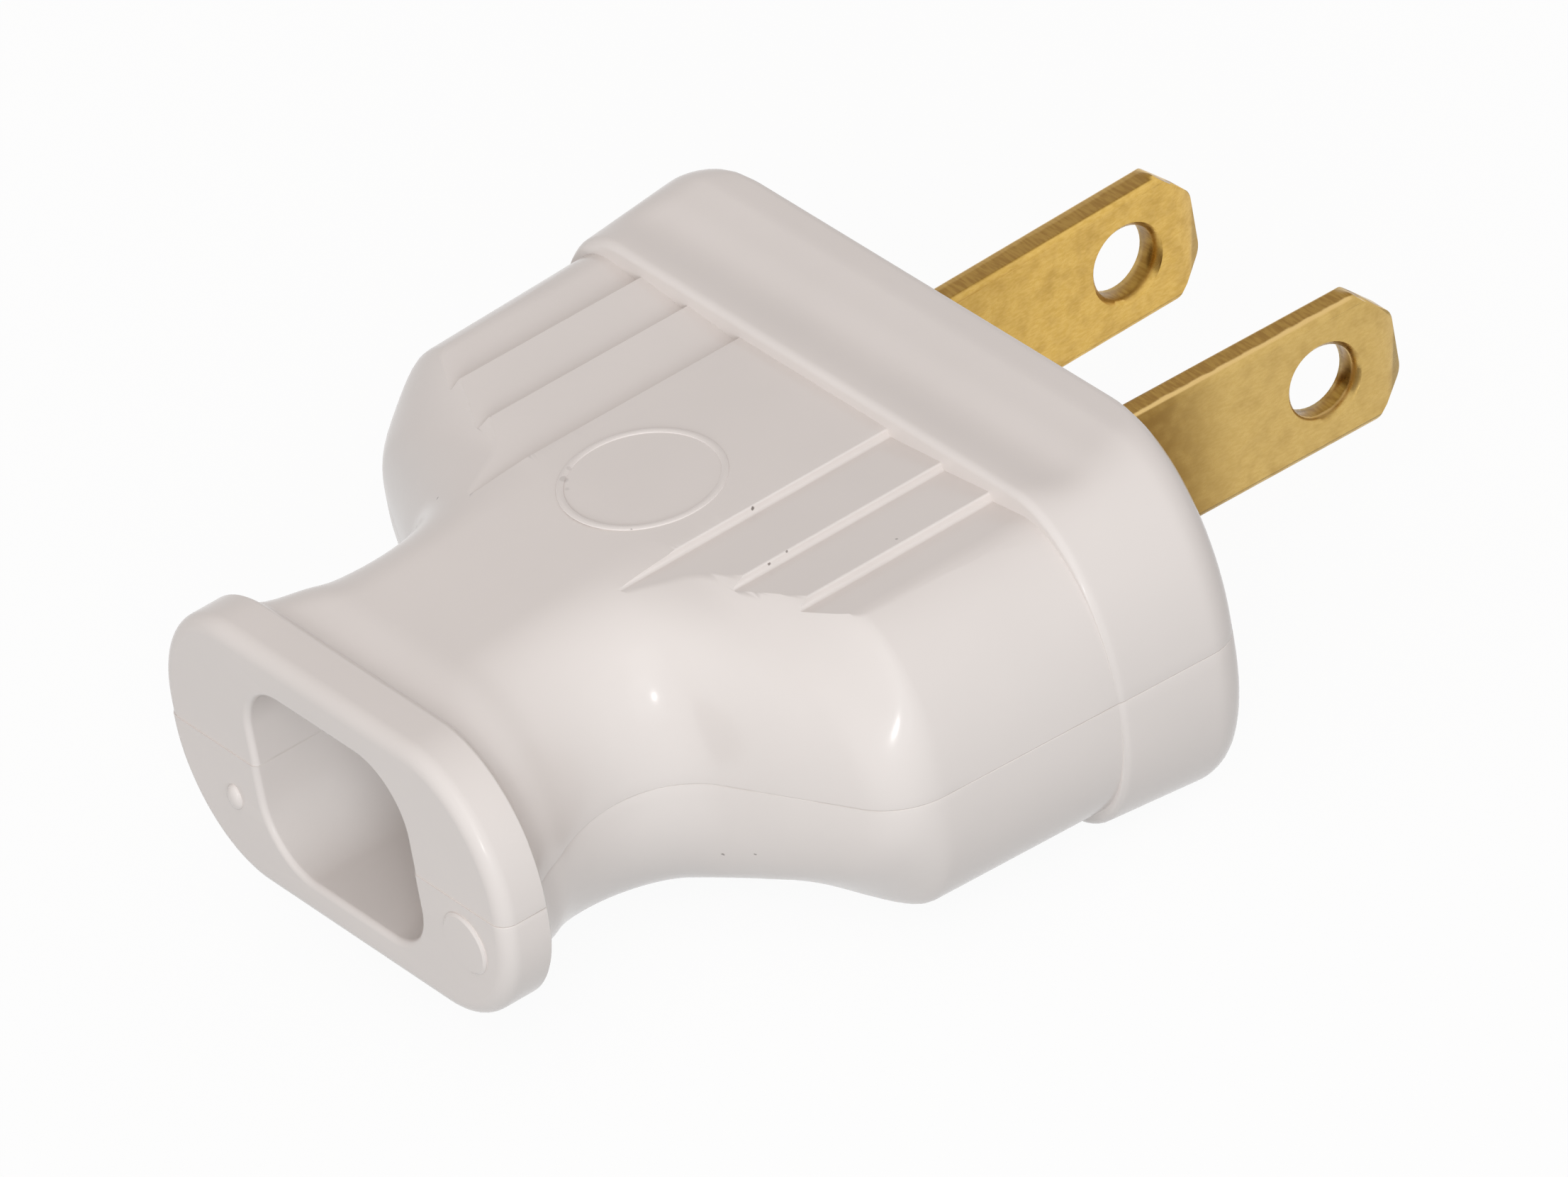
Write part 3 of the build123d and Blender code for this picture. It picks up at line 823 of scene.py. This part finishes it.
def ribCutter(side, hand):
    # The three saw-tooth strips beside the panel, as one tool
    top, clear = shell["bodyHeight"] / 2, ribs["clear"]
    inner, outer = ribs["steps"][0] - clear, shell["bodyWidth"] / 2 + clear
    corners = [(inner, top + clear, 0), (inner, top + ribs["panelGap"], 0)]
    for i, (step, depth) in enumerate(zip(ribs["steps"], ribs["depths"])):
        corners.append((step, top - (ribs["crestFall"] if i else 0), ribs["edgeRound"]))
        corners.append((step, top - depth, ribs["footRound"]))
    # The last strip rolls over into the rounded side
    slope, turned = math.radians(ribs["lastSlope"]), math.radians(ribs["rollTurn"])
    radius = ribs["rollRound"]
    rollHeight = top - ribs["depths"][-1] + (ribs["rollFrom"] - ribs["steps"][-1]) * math.tan(slope)
    centre = (ribs["rollFrom"] + radius * math.sin(slope), rollHeight - radius * math.cos(slope))
    for share in shares(ribs["rollSteps"]):
        angle = slope - turned * share
        corners.append((centre[0] - radius * math.sin(angle), centre[1] + radius * math.cos(angle), 0))
    last = corners[-1]
    drop = (outer - last[0]) * math.tan(turned - slope)
    corners += [(outer, last[1] - drop, 0), (outer, top + clear, 0)]
    ends = (-collar["length"], -shell["waistFromFace"])  # from the collar's rear wall
    return prism("ribCutter", roundCorners(corners), lambda u, v, end: (ends[end], hand * u, side * v))


def besideBlade(hand, point):
    # A point given from the blade's own middle, turned and moved with the blade; hand is 1 on the left
    lean = Matrix.Rotation(math.radians(hand * blade["splay"]), 3, "Z")
    return Vector((0, hand * blade["spacing"] / 2, 0)) + lean @ Vector(point)


def bladeSlot(hand):
    high = (blade["thickness"] / 2 + blade["slotGap"], blade["width"] / 2 + blade["slotGap"])
    outline = rectangle((-high[0], -high[1]), high)
    ends = (blade["slotReach"], -blade["slotReach"])
    return prism("bladeSlot", outline, lambda u, v, end: besideBlade(hand, (ends[end], u, v)))


# Boss, hole and recess of the closing screw, and the pocket of its insert
closing = {
    "fromFace": 15.7,
    "boss": 8.0,
    "hole": 3.4,
    "holeDepth": 4.8,
    "recess": 6.2,
    "seat": 3.3,
    "acrossFlats": 5.0,
    "skin": 0.7,  # from the parting face to the insert
    "insertLength": 4.2,
    "clear": 1.0,  # by which a cutter overshoots
}
panelRing = {"Diameter": 6.9, "Width": 0.34, "Height": 0.08}


def ringTree():
    # A half-round bead that follows a circle
    kinds = dict.fromkeys(panelRing, "Float") | {"Place": "Vector", "Material": "Material"}
    tree, given = nodeTree("panelRing", kinds)
    radius = addNode(tree, "ShaderNodeMath", times, given["Diameter"], 0.5)
    bead = addNode(tree, "ShaderNodeMath", times, given["Width"], 0.5)
    squash = addNode(tree, "ShaderNodeMath", over, given["Height"], bead)
    path = addNode(tree, "GeometryNodeCurvePrimitiveCircle", Resolution=96, Radius=radius)
    profile = addNode(tree, "GeometryNodeCurvePrimitiveCircle", Resolution=12, Radius=bead)
    sweep = addNode(tree, "GeometryNodeCurveToMesh", Curve=path, Profile_Curve=profile)
    scale = addNode(tree, "ShaderNodeCombineXYZ", X=1.0, Y=1.0, Z=squash)
    placed = addNode(
        tree, "GeometryNodeTransform", Geometry=sweep, Translation=given["Place"], Scale=scale
    )
    endTree(tree, placed, given["Material"])
    return tree


def makeRing():
    values = {name: size * mm for name, size in panelRing.items()}
    place = Vector((-closing["fromFace"], 0, shell["bodyHeight"] / 2)) * mm
    return grow("panelRing", ringTree(), values | {"Place": place, "Material": ureaPlastic})


# On the cord end: places are y and z
pip = {"place": (7.48, -2.39), "radii": (0.3, 0.45, 0.62), "segments": 24, "rings": 16}
disc = {
    "place": (-8.7, -2.0),
    "base": 1.42,
    "top": 1.3,
    "height": 0.15,
    "wall": 0.06,
    "sunk": 0.3,
    "count": 48,
}


def endBump():
    # A small oval pip on the cord end
    (y, z), radii = pip["place"], pip["radii"]
    work = bmesh.new()
    bmesh.ops.create_uvsphere(work, u_segments=pip["segments"], v_segments=pip["rings"], radius=1.0)
    points = []
    for v in work.verts:
        points.append((v.co.x * radii[0] - shell["length"], v.co.y * radii[1] + y, v.co.z * radii[2] + z))
    faces = [[v.index for v in face.verts] for face in work.faces]
    work.free()
    return meshObject("endBump", points, faces)


def endDisc():
    # A plain raised disc on the cord end
    count = disc["count"]
    low, high = circle(disc["place"], disc["base"], count), circle(disc["place"], disc["top"], count)
    levels = [(low, disc["sunk"]), (low, -disc["wall"]), (high, -disc["height"])]
    points = [(lift - shell["length"], u, v) for outline, lift in levels for u, v in outline]
    faces = [tuple(range(count)), tuple(range(2 * count, 3 * count))]
    for level in (0, count):
        for i in range(count):
            after = (i + 1) % count
            faces.append((level + i, level + after, level + count + after, level + count + i))
    made = meshObject("endDisc", points, faces)
    faceOutwards(made)
    return made


# Where a terminal screw stands, and what the shells hold each blade with
terminal = {"fromFace": 7.15, "fromBlade": 4.6625, "seat": -1.05}
seats = {
    "front": 3.15,
    "rear": 11.15,
    "reach": 7.775,
    "bend": 0.8,
    "rib": 1.4,
    "gap": 0.15,
    "stopTop": -0.55,
    "holder": 5.0,
    "tipHole": 4.9,
    "tipCount": 40,
    "clear": 1.0,  # by which a cutter overshoots
}


def bladeBox(name, hand, low, high):
    # A box drawn beside a blade, turned with it
    ends = (low[2], high[2])
    outline = rectangle(low, high)
    return prism(name, outline, lambda u, v, end: besideBlade(hand, (u, hand * v, ends[end])))


def addSeats(made, side, hand):
    # Above, a rib holds the blade down; below, a pad carries its tab and a rib stops it
    floor, edge = shell["bodyHeight"] / 2 - room["roof"] / 2, blade["width"] / 2
    middle = -(seats["front"] + seats["rear"]) / 2
    if side > 0:
        half, thin = seats["holder"] / 2, blade["thickness"] / 2
        holder = bladeBox("holder", hand, (middle - half, -thin, edge), (middle + half, thin, floor))
        combine(made, holder, "UNION")
        return
    reach, rear = seats["reach"], -seats["rear"]
    pad = bladeBox("pad", hand, (rear, seats["bend"], -floor), (-seats["front"], reach, -edge))
    spot = besideBlade(hand, (middle, hand * terminal["fromBlade"], 0))
    outline = circle((spot.x, spot.y), seats["tipHole"] / 2, seats["tipCount"])
    ends = (-floor - seats["clear"], 0)
    combine(pad, prism("tipHole", outline, lambda u, v, end: (u, v, ends[end])), "DIFFERENCE")
    combine(made, pad, "UNION")
    near = rear - seats["gap"]
    stop = bladeBox("stop", hand, (near - seats["rib"], 0, -floor), (near, reach, seats["stopTop"]))
    combine(made, stop, "UNION")


def upright(name, radius, low, high, count=48):
    outline = circle((-closing["fromFace"], 0), radius, count)
    return prism(name, outline, lambda u, v, end: (u, v, (low, high)[end]))


def makeShell(name, node, side):
    made = shellSkin(name, side)
    for hand in (1, -1):
        combine(made, ribCutter(side, hand), "DIFFERENCE")
    roofTop = shell["bodyHeight"] / 2 - room["roof"] / 2
    combine(made, upright("boss", closing["boss"] / 2, 0.0, side * roofTop), "UNION")
    for hand in (1, -1):
        combine(made, bladeSlot(hand), "DIFFERENCE")
        addSeats(made, side, hand)
    hole, clear, below = closing["hole"] / 2, closing["clear"], -shell["bodyHeight"]
    if side > 0:
        combine(made, makeRing(), "UNION")
        combine(made, upright("hole", hole, -clear, closing["holeDepth"]), "DIFFERENCE")
        hexagon, start = closing["acrossFlats"] / math.sqrt(3), closing["skin"]
        pocket = upright("pocket", hexagon, start, start + closing["insertLength"], 6)
        combine(made, pocket, "DIFFERENCE")
    else:
        combine(made, endBump(), "UNION")
        combine(made, endDisc(), "UNION")
        combine(made, upright("hole", hole, clear, below), "DIFFERENCE")
        combine(made, upright("recess", closing["recess"] / 2, -closing["seat"], below), "DIFFERENCE")
    made.data.materials.clear()
    made.data.materials.append(ureaPlastic)
    smoothShading(made, smoothAngle["shell"])
    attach(made, "root")
    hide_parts(node)
    print(name, len(made.data.polygons), "faces")


makeShell("upperShell", "upper_shell", 1)
makeShell("lowerShell", "lower_shell", -1)


# Brass and steel

def smoothCopy(name, node, material):
    # A merged copy of a solid, so that its round faces shade smoothly
    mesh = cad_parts[node].data.copy()
    made = bpy.data.objects.new(name, mesh)
    scene.collection.objects.link(made)
    faceOutwards(made)
    mesh.materials.clear()
    mesh.materials.append(material)
    smoothShading(made, smoothAngle["solid"])
    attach(made, "root")
    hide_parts(node)


terminalScrew = {
    "Head Diameter": 5.125,
    "Head Height": 2.3,
    "Thread Diameter": 3.5,
    "Length": 3.6,
    "Pitch": 0.6,
}
closingScrew = {
    "Head Diameter": 5.6,
    "Head Height": 2.2,
    "Thread Diameter": 3.0,
    "Length": 7.9,
    "Pitch": 0.5,
}
driverSlot = {"Slot Width": 0.9, "Slot Depth": 1.1}
# Shares of the pitch, the shank's length and the head's diameter
threadShares = {"ridge": 0.42, "wound": 0.86, "start": -0.94, "slotLength": 1.2}


def screwTree():
    # A slotted head on a shank with a wound thread; it stands on its seat at the origin
    kinds = dict.fromkeys([*terminalScrew, *driverSlot], "Float")
    kinds |= {"Place": "Vector", "Turn": "Vector", "Material": "Material"}
    tree, given = nodeTree("slottedScrew", kinds)

    def raised(geometry, size, share):
        # Moved up by a share of one of the screw's sizes
        height = addNode(tree, "ShaderNodeMath", times, size, share)
        spot = addNode(tree, "ShaderNodeCombineXYZ", X=0.0, Y=0.0, Z=height)
        return addNode(tree, "GeometryNodeTransform", Geometry=geometry, Translation=spot)

    radius = addNode(tree, "ShaderNodeMath", times, given["Head Diameter"], 0.5)
    head = addNode(
        tree, "GeometryNodeMeshCylinder", Vertices=56, Radius=radius, Depth=given["Head Height"]
    )
    slotLength = addNode(tree, "ShaderNodeMath", times, given["Head Diameter"], threadShares["slotLength"])
    bothWays = addNode(tree, "ShaderNodeMath", times, given["Slot Depth"], 2.0)
    groove = addNode(tree, "ShaderNodeCombineXYZ", X=slotLength, Y=given["Slot Width"], Z=bothWays)
    cutter = addNode(tree, "GeometryNodeMeshCube", Size=groove)
    head = raised(head, given["Head Height"], 0.5)
    cutter = raised(cutter, given["Head Height"], 1.0)
    cutting = {"operation": "DIFFERENCE", "solver": "MANIFOLD"}
    slotted = addNode(tree, "GeometryNodeMeshBoolean", cutting, head, cutter)
    ridge = addNode(tree, "ShaderNodeMath", times, given["Pitch"], threadShares["ridge"])
    radius = addNode(tree, "ShaderNodeMath", times, given["Thread Diameter"], 0.5)
    core = addNode(tree, "ShaderNodeMath", minus, radius, ridge)
    shank = addNode(tree, "GeometryNodeMeshCylinder", Vertices=40, Radius=core, Depth=given["Length"])
    wound = addNode(tree, "ShaderNodeMath", times, given["Length"], threadShares["wound"])
    turns = addNode(tree, "ShaderNodeMath", over, wound, given["Pitch"])
    helix = addNode(
        tree,
        "GeometryNodeCurveSpiral",
        Resolution=32,
        Rotations=turns,
        Start_Radius=core,
        End_Radius=core,
        Height=wound,
    )
    profile = addNode(tree, "GeometryNodeCurvePrimitiveCircle", Resolution=6, Radius=ridge)
    thread = addNode(tree, "GeometryNodeCurveToMesh", Curve=helix, Profile_Curve=profile, Fill_Caps=True)
    shank = raised(shank, given["Length"], -0.5)
    thread = raised(thread, given["Length"], threadShares["start"])
    whole = addNode(tree, "GeometryNodeJoinGeometry")
    for piece in (slotted, shank, thread):
        feed(tree, whole.inputs[0], piece)
    placed = addNode(
        tree, "GeometryNodeTransform", Geometry=whole, Translation=given["Place"], Rotation=given["Turn"]
    )
    endTree(tree, placed, given["Material"])
    return tree


slottedScrew = screwTree()


def makeScrew(name, node, sizes, place, turn):
    values = {label: size * mm for label, size in (sizes | driverSlot).items()}
    values |= {"Place": Vector(place) * mm, "Turn": turn, "Material": platedSteel}
    made = grow(name, slottedScrew, values)
    smoothShading(made, smoothAngle["screw"])
    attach(made, "root")
    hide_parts(node)


for hand, side in (("left", 1), ("right", -1)):
    smoothCopy("blade" + hand.title(), "blade_" + hand, brass)
    spot = besideBlade(side, (-terminal["fromFace"], side * terminal["fromBlade"], terminal["seat"]))
    turn = (0, 0, math.radians(side * blade["splay"]))
    makeScrew("terminalScrew" + hand.title(), "terminal_screw_" + hand, terminalScrew, spot, turn)
    smoothCopy("terminalWasher" + hand.title(), "terminal_washer_" + hand, platedSteel)
spot = (-closing["fromFace"], 0, -closing["seat"])
makeScrew("closingScrew", "closing_screw", closingScrew, spot, (math.pi, 0, 0))
smoothCopy("closingInsert", "closing_insert", brass)
print("metal pieces made")


# Floor and light

studio = {
    "floorColour": "F8F8F8",
    "floorBounce": "9A9896",
    "floorWhite": 0.94,  # share of plain white where the floor is looked at
    "floorGap": 0.02,
    "floorReach": 3000.0,
    "world": 0.56,  # strength of the light that falls from all around
    "worldColour": "FFF9F6",
    "backdrop": "FFFFFF",
}
# A lamp's share is the brightness of a white surface that faces it
lamps = {
    "key": {
        "from": (-0.55, -0.58, 0.6),
        "distance": 700,
        "size": 420,
        "share": 0.2,
        "colour": "FFFEFC",
        "shows": False,
    },
    "side": {
        "from": (-0.56, -0.8, 0.2),
        "distance": 700,
        "size": 420,
        "share": 0.45,
        "colour": "F2FAFF",
        "shows": False,
    },
    "glint": {
        "from": (-0.65, -0.73, 0.2),
        "distance": 800,
        "size": 45,
        "share": 0.04,
        "colour": "FFFFFF",
        "shows": True,
    },
}


def lookedAt(tree):
    # 1 for what the camera, a reflection or a glass sees, 0 for the light that falls on a surface
    path = addNode(tree, "ShaderNodeLightPath").outputs
    mirrored = addNode(tree, "ShaderNodeMath", larger, path["Is Glossy Ray"], path["Is Transmission Ray"])
    return addNode(tree, "ShaderNodeMath", larger, path["Is Camera Ray"], mirrored)


def paleFloor():
    # White to the eye and in reflections; a greyer tone throws less light back up
    made = bpy.data.materials.new("paleFloor")
    made.use_nodes = True
    tree, tone = made.node_tree, tones(studio)
    tree.nodes.remove(tree.nodes["Principled BSDF"])
    seen = lookedAt(tree)
    tint = addNode(tree, "ShaderNodeMix", twoColours, seen, tone["floorBounce"], tone["floorColour"])
    diffuse = addNode(tree, "ShaderNodeBsdfDiffuse", Color=tint)
    glow = addNode(tree, "ShaderNodeEmission", Strength=1.0)
    share = addNode(tree, "ShaderNodeMath", times, seen, studio["floorWhite"])
    mix = addNode(tree, "ShaderNodeMixShader", {}, share, diffuse, glow)
    feed(tree, tree.nodes["Material Output"].inputs["Surface"], mix)
    return made


def makeFloor():
    reach = studio["floorReach"]
    level = cadLow[2] / mm - studio["floorGap"]  # a hair clear of the flats that rest on it
    points = [(x, y, level) for x, y in rectangle((-reach, -reach), (reach, reach))]
    made = meshObject("floor", points, [(0, 1, 2, 3)])
    made.data.materials.append(paleFloor())


def makeLamp(name):
    lamp = lamps[name]
    data = bpy.data.lights.new(name, "AREA")
    data.shape, data.size, data.color = "DISK", lamp["size"] * mm, hexColour(lamp["colour"])[:3]
    distance = lamp["distance"] * mm
    data.energy = lamp["share"] * (math.pi * distance) ** 2
    made = bpy.data.objects.new(name, data)
    scene.collection.objects.link(made)
    direction = Vector(lamp["from"]).normalized()
    made.location = Vector(cameraView["target"]) * mm + direction * distance
    made.rotation_euler = direction.to_track_quat("Z", "Y").to_euler()
    made.visible_glossy = lamp["shows"]


def makeWorld():
    world = bpy.data.worlds.new("studioWorld")
    scene.world = world
    world.use_nodes = True
    tree, tone = world.node_tree, tones(studio)
    sky = tree.nodes["Background"]
    seen = lookedAt(tree)
    tint = addNode(tree, "ShaderNodeMix", twoColours, seen, tone["worldColour"], tone["backdrop"])
    strength = addNode(tree, "ShaderNodeMapRange", softRange, seen, 0.0, 1.0, studio["world"], 1.0)
    feed(tree, sky.inputs["Color"], tint)
    feed(tree, sky.inputs["Strength"], strength)


makeFloor()
for lampName in lamps:
    makeLamp(lampName)
makeWorld()
scene.view_settings.view_transform = "Standard"
print("studio set")
